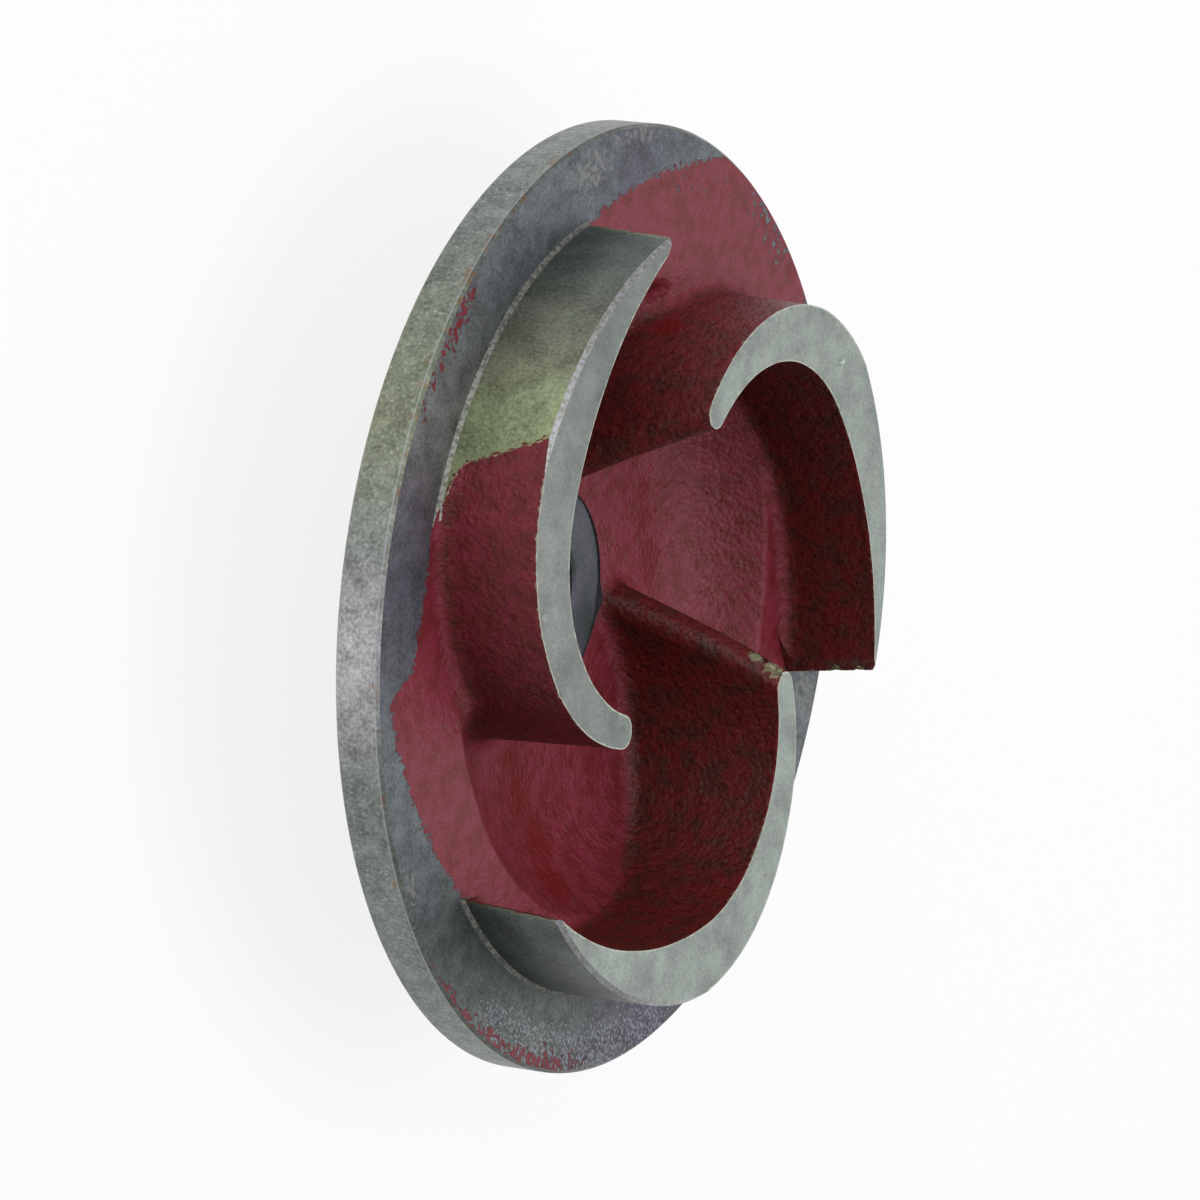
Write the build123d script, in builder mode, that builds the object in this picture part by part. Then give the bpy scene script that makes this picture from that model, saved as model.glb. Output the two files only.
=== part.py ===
from build123d import *
import os
from math import cos, radians, sin, sqrt, tan

# Semi-open pump impeller: one iron casting, then turned, faced, bored and keyed.
# Frame: +Z runs along the bore and out of the eye. The origin is the bore's centre on the
# back end of the hub, where the part rests. Millimetres and degrees throughout.

os.makedirs("parts", exist_ok=True)

# --- Turned and faced sizes --------------------------------------------------------------
disc_radius = 100.0  # rim of the back plate
rim_back_z = 35.0  # back land of the rim
front_z = 45.0  # faced ring in front of the rim
vane_top_z = 66.7  # faced tops of the vanes
vane_turn_radius = 83.0  # vane ends turned to this radius
vane_edge_chamfer = 0.9  # lathe chamfer on the turned vane ends
rim_front_chamfer = 0.7
rim_back_chamfer = 0.5
tool_nose = 0.8  # corner left by the lathe tool where the vane ends meet the ring

# --- Hub and bore ------------------------------------------------------------------------
hub_face_z = 28.0  # spot face for the retaining washer
spot_face_radius = 22.4
bore_radius = 12.0
bore_chamfer = 0.6
key_width = 8.0
key_depth = 3.3  # from the bore wall
boss_radius = 26.0  # at the back end of the hub
boss_draft = 3.0
boss_chamfer = 1.5

# --- Cast floor of the water passage -----------------------------------------------------
floor_step = 0.5  # cast floor above the spot face at its edge
eye_floor_radius = 18.0  # level floor inside this radius, later spot faced away
eye_floor_slope = 4.6
cone_head_radius = 67.5  # brow where the ring drops into the passage
cone_slope = 45.0
cone_foot_round = 36.0
cone_head_round = 2.0
rim_allowance = 2.0  # cast rim outside the turned one
run_out_margin = 9.0  # plate outside the ends of the vane patterns

# --- Cast back ---------------------------------------------------------------------------
web_back_z = 20.0
back_cone_head_radius = 71.0  # inside edge of the rim's back land
back_cone_foot_radius = 56.0
back_cone_round = 20.0
boss_fillet = 5.0

# --- Vanes -------------------------------------------------------------------------------
# Each vane is drawn in its own frame, with the centres of both flanks on its X axis.
vane_draft = 2.5  # degrees on each flank
convex_radius = 46.4
convex_centre = 36.7
concave_radius = 37.1
concave_centre = 30.95
concave_turn = 18.0  # where the long outer arc takes over on the inner flank
outer_concave_radius = 88.6
shoulder_turn = 12.0  # where the long outer arc takes over on the outer flank
shoulder_radius = 90.0
pattern_angle = -52.0  # the pattern runs out past the turned radius
tip_angles = (-40.1, -43.3, -41.7)  # where each hand-dressed trailing tip meets the ring
tip_lean = 5.0  # the dressed ends lean back from there
tip_skew = 45.0  # and are turned this far from a radial plane
tip_cut_reach = 19.0  # either way from the tip
tip_cut_inner_radius = 70.0
run_out_angle = -64.0  # everything past a tip is cleared as far as this
vane_foot_z = 24.0  # vane pattern goes this deep into the plate
root_turn = 156.0  # pattern end at the hub, ahead of the leading edge
root_fillet = 4.0

# --- Leading edge ------------------------------------------------------------------------
lead_top_radius = 39.3
lead_top_angle = 69.5
lead_root_radius = 22.6
lead_root_angle = 89.4
lead_root_z = 29.0
lead_face_angle = 126.0  # direction of the leading edge's width
lead_cut_width = 36.0
lead_cut_reach = 60.0
lead_round = 3.2


def polar(radius, angle):
    """Point at a radius and an angle in degrees round the axis."""
    return Vector(radius * cos(radians(angle)), radius * sin(radians(angle)))


def on_circle(centre, radius, angle):
    """Point of a circle at an angle in degrees round its own centre."""
    return centre + polar(radius, angle)


def on_ray(centre, radius, angle):
    """Far point where a ray from the axis crosses a circle."""
    ray = polar(1, angle)
    along = centre.dot(ray)
    reach = along + sqrt(along**2 - centre.dot(centre) + radius**2)
    return ray * reach


# --- Vane pattern ------------------------------------------------------------------------
convex_middle = Vector(convex_centre, 0)
concave_middle = Vector(concave_centre, 0)
shoulder_middle = on_circle(convex_middle, convex_radius - shoulder_radius, shoulder_turn)
outer_concave_middle = on_circle(concave_middle, concave_radius - outer_concave_radius, concave_turn)

convex_root = on_circle(convex_middle, convex_radius, root_turn)
shoulder = on_circle(convex_middle, convex_radius, shoulder_turn)
convex_end = on_ray(shoulder_middle, shoulder_radius, pattern_angle)
concave_end = on_ray(outer_concave_middle, outer_concave_radius, pattern_angle)
concave_joint = on_circle(concave_middle, concave_radius, concave_turn)
concave_root = on_circle(concave_middle, concave_radius, root_turn)

lead_top = polar(lead_top_radius, lead_top_angle) + Vector(0, 0, vane_top_z)
lead_root = polar(lead_root_radius, lead_root_angle) + Vector(0, 0, lead_root_z)
lead_line = lead_root - lead_top
lead_across = polar(1, lead_face_angle)
lead_plane = Plane(origin=lead_top, x_dir=lead_across, z_dir=lead_across.cross(lead_line))

with BuildPart() as vane:
    with BuildSketch(Plane.XY.offset(vane_top_z)):
        with BuildLine():
            RadiusArc(convex_root, shoulder, convex_radius)
            RadiusArc(shoulder, convex_end, shoulder_radius)
            Line(convex_end, concave_end)
            RadiusArc(concave_end, concave_joint, -outer_concave_radius)
            RadiusArc(concave_joint, concave_root, -concave_radius)
            Line(concave_root, convex_root)
        make_face()
    extrude(amount=-(vane_top_z - vane_foot_z))
    # Both flanks spread below the faced top, so that the pattern draws out of the sand.
    draft(faces().filter_by(GeomType.CYLINDER), Plane.XY.offset(vane_top_z), vane_draft)
    # The leading edge leans out from the hub to the faced top, and its nose is rounded.
    with BuildSketch(lead_plane):
        Rectangle(lead_cut_width, 2 * vane_top_z)
    extrude(amount=lead_cut_reach, mode=Mode.SUBTRACT)
    lead_face = faces().sort_by_distance(lead_top + lead_line / 2)[0]
    fillet(lead_face.edges().sort_by(SortBy.LENGTH)[-2:], lead_round)

# --- Casting -----------------------------------------------------------------------------
eye_rise = tan(radians(eye_floor_slope))
cone_rise = tan(radians(cone_slope))
eye_floor_z = hub_face_z + floor_step - (spot_face_radius - eye_floor_radius) * eye_rise
brow_height = front_z - eye_floor_z
cone_foot_radius = (cone_head_radius * cone_rise - eye_floor_radius * eye_rise - brow_height) / (
    cone_rise - eye_rise
)
cone_foot_z = front_z - (cone_head_radius - cone_foot_radius) * cone_rise
boss_root_radius = boss_radius + (web_back_z - boss_chamfer) * tan(radians(boss_draft))
blank_radius = convex_end.length + run_out_margin

with BuildPart() as impeller:
    with BuildSketch(Plane.XZ) as blank_section:
        with BuildLine():
            Polyline(
                (0, 0),
                (0, eye_floor_z),
                (eye_floor_radius, eye_floor_z),
                (cone_foot_radius, cone_foot_z),
                (cone_head_radius, front_z),
                (blank_radius, front_z),
                (blank_radius, 0),
                (0, 0),
            )
        make_face()
        fillet(vertices().sort_by_distance((cone_foot_radius, cone_foot_z))[0], cone_foot_round)
        fillet(vertices().sort_by_distance((cone_head_radius, front_z))[0], cone_head_round)
    revolve(axis=Axis.Z)
    with PolarLocations(0, len(tip_angles)):
        add(vane.part)
    fillet(edges(Select.NEW), root_fillet)
    # The rim as cast, round the plate that carries the vanes.
    with BuildSketch(Plane.XY):
        Circle(disc_radius + rim_allowance)
        Circle(vane_turn_radius, mode=Mode.SUBTRACT)
    extrude(amount=front_z)

    # Turning trims the vane ends, the ring and the rim; below them lies the cast back.
    with BuildSketch(Plane.XZ) as finished_section:
        with BuildLine():
            Polyline(
                (0, 0),
                (boss_radius - boss_chamfer, 0),
                (boss_radius, boss_chamfer),
                (boss_root_radius, web_back_z),
                (back_cone_foot_radius, web_back_z),
                (back_cone_head_radius, rim_back_z),
                (disc_radius - rim_back_chamfer, rim_back_z),
                (disc_radius, rim_back_z + rim_back_chamfer),
                (disc_radius, front_z - rim_front_chamfer),
                (disc_radius - rim_front_chamfer, front_z),
                (vane_turn_radius, front_z),
                (vane_turn_radius, vane_top_z - vane_edge_chamfer),
                (vane_turn_radius - vane_edge_chamfer, vane_top_z),
                (0, vane_top_z),
                (0, 0),
            )
        make_face()
        fillet(vertices().sort_by_distance((boss_root_radius, web_back_z))[0], boss_fillet)
        fillet(vertices().sort_by_distance((back_cone_foot_radius, web_back_z))[0], back_cone_round)
        chamfer(vertices().sort_by_distance((vane_turn_radius, front_z))[0], tool_nose)
    revolve(axis=Axis.Z, mode=Mode.INTERSECT)

    # The trailing tips are dressed back to a knife-like end.
    for number, tip_angle in enumerate(tip_angles):
        vane_angle = number * 360 / len(tip_angles)
        tip = polar(vane_turn_radius, vane_angle + tip_angle)
        tip_cut = polar(tip_cut_reach, vane_angle + tip_angle - tip_skew)
        with BuildSketch(Plane.XY.offset(front_z)):
            Polygon(
                tip - tip_cut,
                tip + tip_cut,
                polar(disc_radius, vane_angle + run_out_angle),
                polar(tip_cut_inner_radius, vane_angle + run_out_angle),
                align=None,
            )
        extrude(amount=vane_top_z - front_z, taper=-tip_lean, mode=Mode.SUBTRACT)

    # Spot face, bore and keyway.
    with BuildSketch(Plane.XY.offset(hub_face_z)):
        Circle(spot_face_radius)
    extrude(amount=vane_top_z - hub_face_z, mode=Mode.SUBTRACT)
    with BuildSketch(Plane.XY):
        Circle(bore_radius)
    extrude(amount=hub_face_z, mode=Mode.SUBTRACT)
    chamfer(edges(Select.LAST).filter_by(GeomType.CIRCLE), bore_chamfer)
    with BuildSketch(Plane.XY):
        Rectangle(key_width, bore_radius + key_depth, align=(Align.CENTER, Align.MIN))
    extrude(amount=hub_face_z, mode=Mode.SUBTRACT)

impeller.part.label = "impeller"
export_step(impeller.part, "parts/impeller.step")
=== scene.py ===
"""Pump impeller: one grey iron casting, painted red and then turned, faced and bored.

Metres, in the frame of the CAD model: +Z runs out of the eye, and the part rests on its hub's
back end. The casting's surface is taken from its CAD node, refined, given the unevenness of
sand-cast skin and the chips and burrs of use, and dressed with one material per finish.
"""

import itertools
import math

import bpy
import numpy as np
from mathutils import Matrix, Vector


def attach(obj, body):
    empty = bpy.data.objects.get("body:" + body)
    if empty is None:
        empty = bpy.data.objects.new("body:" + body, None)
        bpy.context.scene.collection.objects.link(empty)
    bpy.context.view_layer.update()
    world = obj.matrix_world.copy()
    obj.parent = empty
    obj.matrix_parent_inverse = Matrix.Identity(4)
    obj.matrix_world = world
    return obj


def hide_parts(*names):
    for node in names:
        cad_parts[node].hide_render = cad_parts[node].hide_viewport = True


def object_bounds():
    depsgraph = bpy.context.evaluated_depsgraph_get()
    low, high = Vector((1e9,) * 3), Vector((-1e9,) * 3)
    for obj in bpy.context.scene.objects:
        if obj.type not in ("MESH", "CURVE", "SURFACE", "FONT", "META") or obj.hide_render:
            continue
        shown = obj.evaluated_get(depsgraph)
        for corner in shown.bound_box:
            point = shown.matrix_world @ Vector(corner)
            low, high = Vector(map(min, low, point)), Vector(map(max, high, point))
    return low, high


MM = 0.001

# --- The part's own sizes, in millimetres ------------------------------------------------
DISC_RADIUS = 100.0
RIM_BACK_Z = 35.0
RING_Z = 45.0  # faced ring in front of the rim
VANE_TOP_Z = 66.7
VANE_TURN_RADIUS = 83.0
SPOT_FACE_Z = 28.0
SPOT_FACE_RADIUS = 22.4
KEYWAY_REACH = 15.4  # from the axis to the bottom of the keyway
EDGE_CUT = 0.95  # widest chamfer on the turned edges

# --- Fineness of the refined surface, in millimetres -------------------------------------
FRONT_EDGE = 2.2  # longest edge in front of the plate
BACK_EDGE = 4.5  # and behind it
KNOCK_EDGE = 0.6  # and where an edge was knocked
BACK_DEPTH = 8.0  # the coarser part starts this far behind the rim's back land
CREASE = 0.2  # sine of the angle between two sides that makes their edge a crease
MOST_BULGE = 0.1  # an edge's middle moves no further than this share of its length
HALVINGS = 7  # enough for the longest edge of the CAD mesh

# --- How a finish is told from the CAD mesh ----------------------------------------------
TIGHT, LOOSE = 0.01, 0.02  # mm that a corner may lie off its face
LEVEL = 0.99  # upward part of a level face's normal
OUTWARD = 0.3  # least outward part of a turned face's normal
LATTICE = 64  # cells a side before the lumps' lattice repeats

# --- Finishes, in the order of the piece's materials -------------------------------------
CAST, FACED, RING, RIM, VANE_END, EDGE, BORED, BACK = range(8)

# --- Sand-cast skin: (size of its lumps, height) in millimetres --------------------------
SKIN_LUMPS = ((14.0, 0.13), (6.0, 0.06))

# --- Paint left on the ring, where the casting ran low: its edge at angles round the axis --
PAINT_ANGLES = (-122, -112, -106, -80, -77, -73, -67, -61, -53, -44, -40, 20, 28, 35, 39, 40.5,
                41.5, 47, 53, 58, 63, 70, 76, 80, 130, 150, 165, 180, 190, 197)
PAINT_RADII = (83, 95, 102, 102, 98, 95.4, 92, 89.4, 86.5, 83.8, 81.5, 81.5, 83, 84.5, 86.2, 91,
               95.2, 93.6, 91.1, 89.2, 86.6, 84.4, 82.6, 80, 80, 84, 87, 88, 84.5, 82)

# --- Enamel, as sRGB hex -----------------------------------------------------------------
# Enamel colours: the crimson pair is painted sheen on faces that look up or out, and the red and
# brown pair is painted shade on sideways faces; the brown blotches are the paint's own tone.
SHEEN_CRIMSON, SHEEN_RED = "802838", "701c22"
SHADED_RED, SHADED_BROWN = "641c1a", "4c221b"
# The pit colour is painted shade in the grit's hollows.
UNSHEENED_RED, PIT_SHADE, TAN_DUST = "700e10", "2a0c0c", "7d5848"
PAINT_GLOSS = 0.3  # specular level: the film is old and dull

# --- Bare iron: a few stains, with painted reflections on the rim, and where each lies by the angle round the axis ---
BLUE, VIOLET, ASH, DARK, GREEN = "646a6e", "5a5a64", "747478", "505656", "666c66"
OLIVE, PALE_OLIVE, MOSS, SLATE = "767a6a", "949e7a", "828872", "5c6260"
STEEL, REFLECTED_SILVER, PALE, DULL = "8c908c", "b8b6b8", "969e98", "7c827e"
RING_STAINS = ((-180, BLUE), (-75, BLUE), (-55, VIOLET), (-34, BLUE), (10, ASH), (27, VIOLET),
               (50, BLUE), (80, DARK), (108, GREEN), (136, VIOLET), (180, BLUE))
# On the rim, the paler steel and silver stretches by angle are painted reflections.
RIM_STAINS_AND_REFLECTIONS = ((-180, DULL), (-60, STEEL), (-20, DULL), (8, MOSS), (24, STEEL), (35, REFLECTED_SILVER),
              (52, DULL), (180, DULL))
END_STAINS = ((-180, SLATE), (-120, PALE_OLIVE), (-60, SLATE), (-30, SLATE), (-11, OLIVE),
              (2, PALE_OLIVE), (40, PALE_OLIVE), (78, SLATE), (100, SLATE), (123, OLIVE),
              (180, SLATE))
TOP_STAINS = ((-180, PALE), (-60, PALE), (-40, DULL), (-5, DULL), (20, STEEL), (60, DULL),
              (85, PALE), (180, PALE))

BARE_LINE, BURR, SPARK, RIM_LINE, END_EDGE = "999678", "c4c6b8", "c3c2be", "b4bcc0", "929a72"
RUBBED, LILAC, BROWN_SPOT, RUST = "8c8c82", "9495a4", "7d7362", "8f5c2c"

# --- Knocks on the edges: (x, y, z, radius, depth) in mm, where a depth below zero is a burr --
KNOCKS = (
    (-38.0, -7.5, 65.8, 2.6, 0.9), (-36.6, -8.2, 61.5, 2.0, 0.35),  # a leading edge's top
    (-77.6, -28.0, 48.0, 1.9, 0.6), (-77.7, -28.6, 52.5, 1.7, 0.4),  # down one dressed tip
    (-77.8, -28.9, 57.0, 2.2, 0.6), (-77.9, -29.0, 62.5, 1.8, 0.5),
    (75.6, 26.2, 66.4, 1.2, -0.5), (80.6, 17.2, 66.3, 1.2, -0.4),  # burrs on the faced tops
    (46.5, 45.9, 66.3, 1.5, -0.7),
    (-18.0, -71.5, 66.5, 1.6, 0.4), (62.5, 36.5, 66.6, 1.4, 0.4),  # nicks there
    (9.0, 75.0, 66.5, 1.4, 0.4),
)
UNEVEN = 0.6  # how much a knock's depth varies over its place
KNOCK_LUMPS = 0.9  # mm, the size of that variation
TOUCHED = 0.02  # mm of movement that leaves a triangle unsmoothed

# --- Places (x, y, z, radius) in mm: deep red enamel without its sheen, which is painted shade, and enamel knocked off ---
UNSHEENED_PLACES = ((-6, 37, 30, 7), (-13, 42, 30, 9), (-22, 47, 33, 10), (-24, 56, 38, 9),
         (-20, -37, 30, 4), (-25, -33, 30, 4), (-30, -28, 30, 4), (-34, -24, 30, 4),
         (24, -53, 48, 5), (-22, -94, 45, 4.5))
CHIPPED = ((-37.5, -7.3, 65.2, 5.0), (-36.4, -8.0, 60.5, 3.0), (1.0, 38.0, 45.0, 0.8))


def hex_colour(text):
    """The linear colour of an sRGB hex value: each channel is ((s + 0.055) / 1.055) to the power
    2.4, or s / 12.92 near black."""
    channels = [int(text[i : i + 2], 16) / 255 for i in (0, 2, 4)]
    linear = [((s + 0.055) / 1.055) ** 2.4 if s > 0.04045 else s / 12.92 for s in channels]
    return (*linear, 1.0)


# --- The surface -------------------------------------------------------------------------
def unit(vectors):
    """Each vector divided by its length."""
    return vectors / np.maximum(np.linalg.norm(vectors, axis=-1, keepdims=True), 1e-12)


def dot(a, b):
    """Dot product along the last axis, kept as an axis of one."""
    return (a * b).sum(axis=-1, keepdims=True)


def mean_facing(points, triangles, facing):
    """The direction of the sum of all triangle corners' facings that meet at each point."""
    aim = np.zeros_like(points)
    for corner in range(3):
        np.add.at(aim, triangles[:, corner], facing[:, corner])
    return unit(aim)


def read_surface(node):
    """The node's surface in millimetres: merged points, triangles, and the direction that each
    triangle's corner faces, so that round faces stay round and creases stay sharp."""
    mesh = node.data
    points = np.empty(len(mesh.vertices) * 3)
    mesh.vertices.foreach_get("co", points)
    corners = np.empty(len(mesh.loops), dtype=np.int64)
    mesh.loops.foreach_get("vertex_index", corners)
    facing = np.empty(len(mesh.loops) * 3)
    mesh.corner_normals.foreach_get("vector", facing)
    points, index = np.unique(np.round(points.reshape(-1, 3) / MM, 4), axis=0, return_inverse=True)
    triangles = index.reshape(-1)[corners].reshape(-1, 3)
    facing = facing.reshape(-1, 3, 3)
    whole = (triangles != np.roll(triangles, 1, axis=1)).all(axis=1)
    return points, triangles[whole], facing[whole]


def edge_table(triangles):
    """Unique edges as point pairs, and for each triangle's three sides the number of its edge."""
    ends = np.sort(np.stack([triangles, np.roll(triangles, -1, axis=1)], axis=2), axis=2)
    size = triangles.max() + 1
    unique, side_edge = np.unique(ends[..., 0] * size + ends[..., 1], return_inverse=True)
    edges = np.stack([unique // size, unique % size], axis=1)
    return edges, side_edge.reshape(-1, 3)


def split_once(points, triangles, facing, region, longest):
    """Halves every edge longer than the length allowed at its middle, or gives None.

    A middle lies on the curve that leaves both ends square to their facing directions n and m:
    (p + q) / 2 + ((d . m) m - (d . n) n) / 8, with d = q - p. Along a crease the curve leaves
    each end square to the facings of both sides instead: (p + q) / 2 + |d| (s - t) / 8."""
    edges, side_edge = edge_table(triangles)
    p, q = points[edges[:, 0]], points[edges[:, 1]]
    d = q - p
    length = np.linalg.norm(d, axis=1, keepdims=True)
    chosen = length[:, 0] > longest((p + q) / 2)
    if not chosen.any():
        return None
    # Each edge has two sides, one in either triangle.
    order = np.argsort(side_edge.reshape(-1), kind="stable").reshape(-1, 2)
    start = facing.reshape(-1, 3)[order]
    finish = np.roll(facing, -1, axis=1).reshape(-1, 3)[order]
    forward = (triangles.reshape(-1)[order] == edges[:, :1])[..., None]
    n = np.where(forward, start, finish)
    m = np.where(forward, finish, start)
    bulge = (dot(m, d[:, None]) * m - dot(n, d[:, None]) * n).mean(axis=1) / 8
    s, t = np.cross(n[:, 0], n[:, 1]), np.cross(m[:, 0], m[:, 1])
    crease = np.minimum(np.linalg.norm(s, axis=1), np.linalg.norm(t, axis=1)) > CREASE
    s, t = unit(s), unit(t)
    s *= np.sign(dot(s, d))
    t *= np.sign(dot(t, d))
    bulge = np.where(crease[:, None], length * (s - t) / 8, bulge)
    height = np.linalg.norm(bulge, axis=1, keepdims=True)
    bulge *= np.minimum(1, MOST_BULGE * length / np.maximum(height, 1e-9))
    number = np.full(len(edges), -1)
    number[chosen] = len(points) + np.arange(chosen.sum())
    points = np.concatenate([points, ((p + q) / 2 + bulge)[chosen]])

    # Triangles turn so that their split sides come first, then follow one of these patterns.
    split = chosen[side_edge]
    count = split.sum(axis=1)
    turn = np.where(count == 1, split.argmax(axis=1), 0)
    turn = np.where(count == 2, ((~split).argmax(axis=1) + 1) % 3, turn)
    pick = (np.arange(3) + turn[:, None]) % 3
    rows = np.arange(len(triangles))[:, None]
    own, middle, aim = triangles[rows, pick], number[side_edge[rows, pick]], facing[rows, pick]
    index = np.concatenate([own, middle], axis=1)
    normal = np.concatenate([aim, unit(aim + np.roll(aim, -1, axis=1))], axis=1)
    first = np.linalg.norm(points[own[:, 0]] - points[middle[:, 1]], axis=1)
    second = np.linalg.norm(points[middle[:, 0]] - points[own[:, 2]], axis=1)
    # Corners 0 1 2 are the triangle's own; 3 4 5 are the middles of its sides 01, 12 and 20.
    patterns = (
        (count == 0, ((0, 1, 2),)),
        (count == 1, ((0, 3, 2), (3, 1, 2))),
        ((count == 2) & (first < second), ((3, 1, 4), (0, 3, 4), (0, 4, 2))),
        ((count == 2) & (first >= second), ((3, 1, 4), (0, 3, 2), (3, 4, 2))),
        (count == 3, ((0, 3, 5), (3, 1, 4), (5, 4, 2), (3, 4, 5))),
    )
    made = [
        (index[rows][:, list(c)], normal[rows][:, list(c)], region[rows])
        for rows, cs in patterns
        for c in cs
    ]
    return points, *(np.concatenate(column) for column in zip(*made))


def name_regions(points, triangles):
    """The finish of each triangle, from its place and the way it faces."""
    p = points[triangles]
    normal = unit(np.cross(p[:, 1] - p[:, 0], p[:, 2] - p[:, 0]))
    up = normal[:, 2]
    out = (unit(p.mean(axis=1)[:, :2]) * normal[:, :2]).sum(axis=1)
    r, z = np.hypot(p[..., 0], p[..., 1]), p[..., 2]
    low_r, high_r, low_z, high_z = r.min(axis=1), r.max(axis=1), z.min(axis=1), z.max(axis=1)
    region = np.full(len(triangles), CAST)
    region[(low_z > VANE_TOP_Z - LOOSE) & (up > LEVEL)] = FACED
    region[(low_z > RING_Z - LOOSE) & (high_z < RING_Z + LOOSE) & (up > LEVEL)] = RING
    rim = (low_r > DISC_RADIUS - EDGE_CUT) & (low_z > RIM_BACK_Z - TIGHT) & (out > OUTWARD)
    region[rim] = RIM
    end = (low_r > VANE_TURN_RADIUS - EDGE_CUT) & (high_r < VANE_TURN_RADIUS + EDGE_CUT)
    end &= (low_z > RING_Z - TIGHT) & (up < 0.9) & (out > OUTWARD)
    level = (abs(low_r - VANE_TURN_RADIUS) < 0.05) & (abs(high_r - VANE_TURN_RADIUS) < 0.05)
    region[end & level] = VANE_END
    sloping = (up > 0.55) & (up < 0.85)  # a chamfer of 45 degrees
    at_edge = (low_z > VANE_TOP_Z - EDGE_CUT) | (high_z < RING_Z + EDGE_CUT)
    region[end & sloping & at_edge] = EDGE
    spot = (high_r < SPOT_FACE_RADIUS + LOOSE) & (high_z < RIM_BACK_Z)
    spot &= low_z > SPOT_FACE_Z - TIGHT
    region[spot & ((up > LEVEL) | (low_r > SPOT_FACE_RADIUS - LOOSE))] = BORED
    region[(high_r < KEYWAY_REACH) & (high_z < SPOT_FACE_Z + TIGHT) & (abs(up) < LEVEL)] = BORED
    land = (high_z < TIGHT) | (abs(z - RIM_BACK_Z) < TIGHT).all(axis=1)
    region[land & (up < -LEVEL)] = BACK
    return region


def lumps(points, size, seed):
    """Smooth random heights from -1 to 1: random values on a lattice of that size, blended
    between a cell's eight corners by 3 t^2 - 2 t^3 on each axis."""
    lattice = np.random.default_rng(seed).uniform(-1, 1, (LATTICE, LATTICE, LATTICE))
    cell = np.floor(points / size).astype(int)
    t = points / size - cell
    t = t * t * (3 - 2 * t)
    height = np.zeros(len(points))
    for corner in itertools.product((0, 1), repeat=3):
        i, j, k = ((cell + corner) % LATTICE).T
        height += np.where(corner, t, 1 - t).prod(axis=1) * lattice[i, j, k]
    return height


def skin(points):
    """Height of the cast skin over the pattern's smooth surface: the lumps' heights added up."""
    return sum(high * lumps(points, size, seed) for seed, (size, high) in enumerate(SKIN_LUMPS))


def slope(points, step=0.4):
    """Gradient of the skin's height, by differences over a short step either way."""
    axes = np.eye(3) * step
    return np.stack([(skin(points + a) - skin(points - a)) / (2 * step) for a in axes], axis=1)


def roughen(points, triangles, facing, region):
    """Moves cast points along their facing by the skin's height, and tilts their facings by its
    slope. Points shared with a faced plane slide in that plane, and those on turned, bored or
    chamfered faces stay."""
    cast = region == CAST
    aim = mean_facing(points, triangles[cast], facing[cast])
    flat = np.zeros(len(points), dtype=bool)
    flat[triangles[np.isin(region, (FACED, RING, BACK))]] = True
    fixed = np.zeros(len(points), dtype=bool)
    fixed[triangles[np.isin(region, (RIM, VANE_END, EDGE, BORED))]] = True
    move = aim * skin(points)[:, None]
    move[flat, 2] = 0
    move[fixed] = 0
    tilt = slope(points)[triangles[cast]]
    facing = facing.copy()
    facing[cast] = unit(facing[cast] - (tilt - dot(tilt, facing[cast]) * facing[cast]))
    return points + move, facing


def distance_to_creases(points, triangles, region, reach=6.0):
    """How far each point in front of the plate is from the nearest line where cast skin meets a
    machined face, up to the reach: the least distance to those edges' segments."""
    edges, side_edge = edge_table(triangles)
    order = np.argsort(side_edge.reshape(-1), kind="stable").reshape(-1, 2) // 3
    pair = region[order]
    crease = (pair == CAST).any(axis=1) & np.isin(pair, (FACED, VANE_END)).any(axis=1)
    a, b = points[edges[crease, 0]], points[edges[crease, 1]]
    along = b - a
    square = dot(along, along)[:, 0]
    result = np.full(len(points), reach)
    wanted = np.flatnonzero(points[:, 2] > RING_Z)
    for part in np.array_split(wanted, 40):
        offset = points[part, None] - a
        t = np.clip((offset * along).sum(axis=2) / square, 0, 1)
        gap = np.linalg.norm(offset - t[..., None] * along, axis=2).min(axis=1)
        result[part] = np.minimum(gap, reach)
    return result


def near(points, places):
    """How near each point is to places (x, y, z, radius): the most of 1 - distance / radius, and
    no less than 0."""
    result = np.zeros(len(points))
    for x, y, z, radius in places:
        result = np.maximum(result, 1 - np.linalg.norm(points - (x, y, z), axis=1) / radius)
    return result


def knock(points, triangles, facing):
    """Presses points in along their mean facing by depth times (1 - (distance / radius)^2)^2, or
    draws them out where the depth is below zero. The triangles touched are left unsmoothed."""
    aim = mean_facing(points, triangles, facing)
    move = np.zeros_like(points)
    for x, y, z, radius, depth in KNOCKS:
        share = np.clip(1 - (np.linalg.norm(points - (x, y, z), axis=1) / radius) ** 2, 0, 1) ** 2
        uneven = 1 + UNEVEN * lumps(points, KNOCK_LUMPS, 7)
        move -= aim * (share * uneven * depth)[:, None]
    points = points + move
    touched = (np.linalg.norm(move, axis=1) > TOUCHED)[triangles].any(axis=1)
    p = points[triangles[touched]]
    facing = facing.copy()
    facing[touched] = unit(np.cross(p[:, 1] - p[:, 0], p[:, 2] - p[:, 0]))[:, None]
    return points, facing


def painted_sheen_share(points, triangles, facing):
    """The share of painted sheen on the enamel at each point: the upward part of its mean facing,
    or 0.7 of the part away from the axis where that is more; where it is low the enamel takes the
    darker painted shade instead."""
    aim = mean_facing(points, triangles, facing)
    return np.maximum(aim[:, 2], 0.7 * (unit(points[:, :2]) * aim[:, :2]).sum(axis=1))


def bell(value, middle, width):
    """A mark that fades either way from its middle: exp(-((value - middle) / width)^2)."""
    return np.exp(-(((value - middle) / width) ** 2))


def ramp(value, start, end):
    """A mark that sets in from 0 at the start to 1 at the end, and stays level outside them."""
    return np.clip((value - start) / (end - start), 0, 1)


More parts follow.
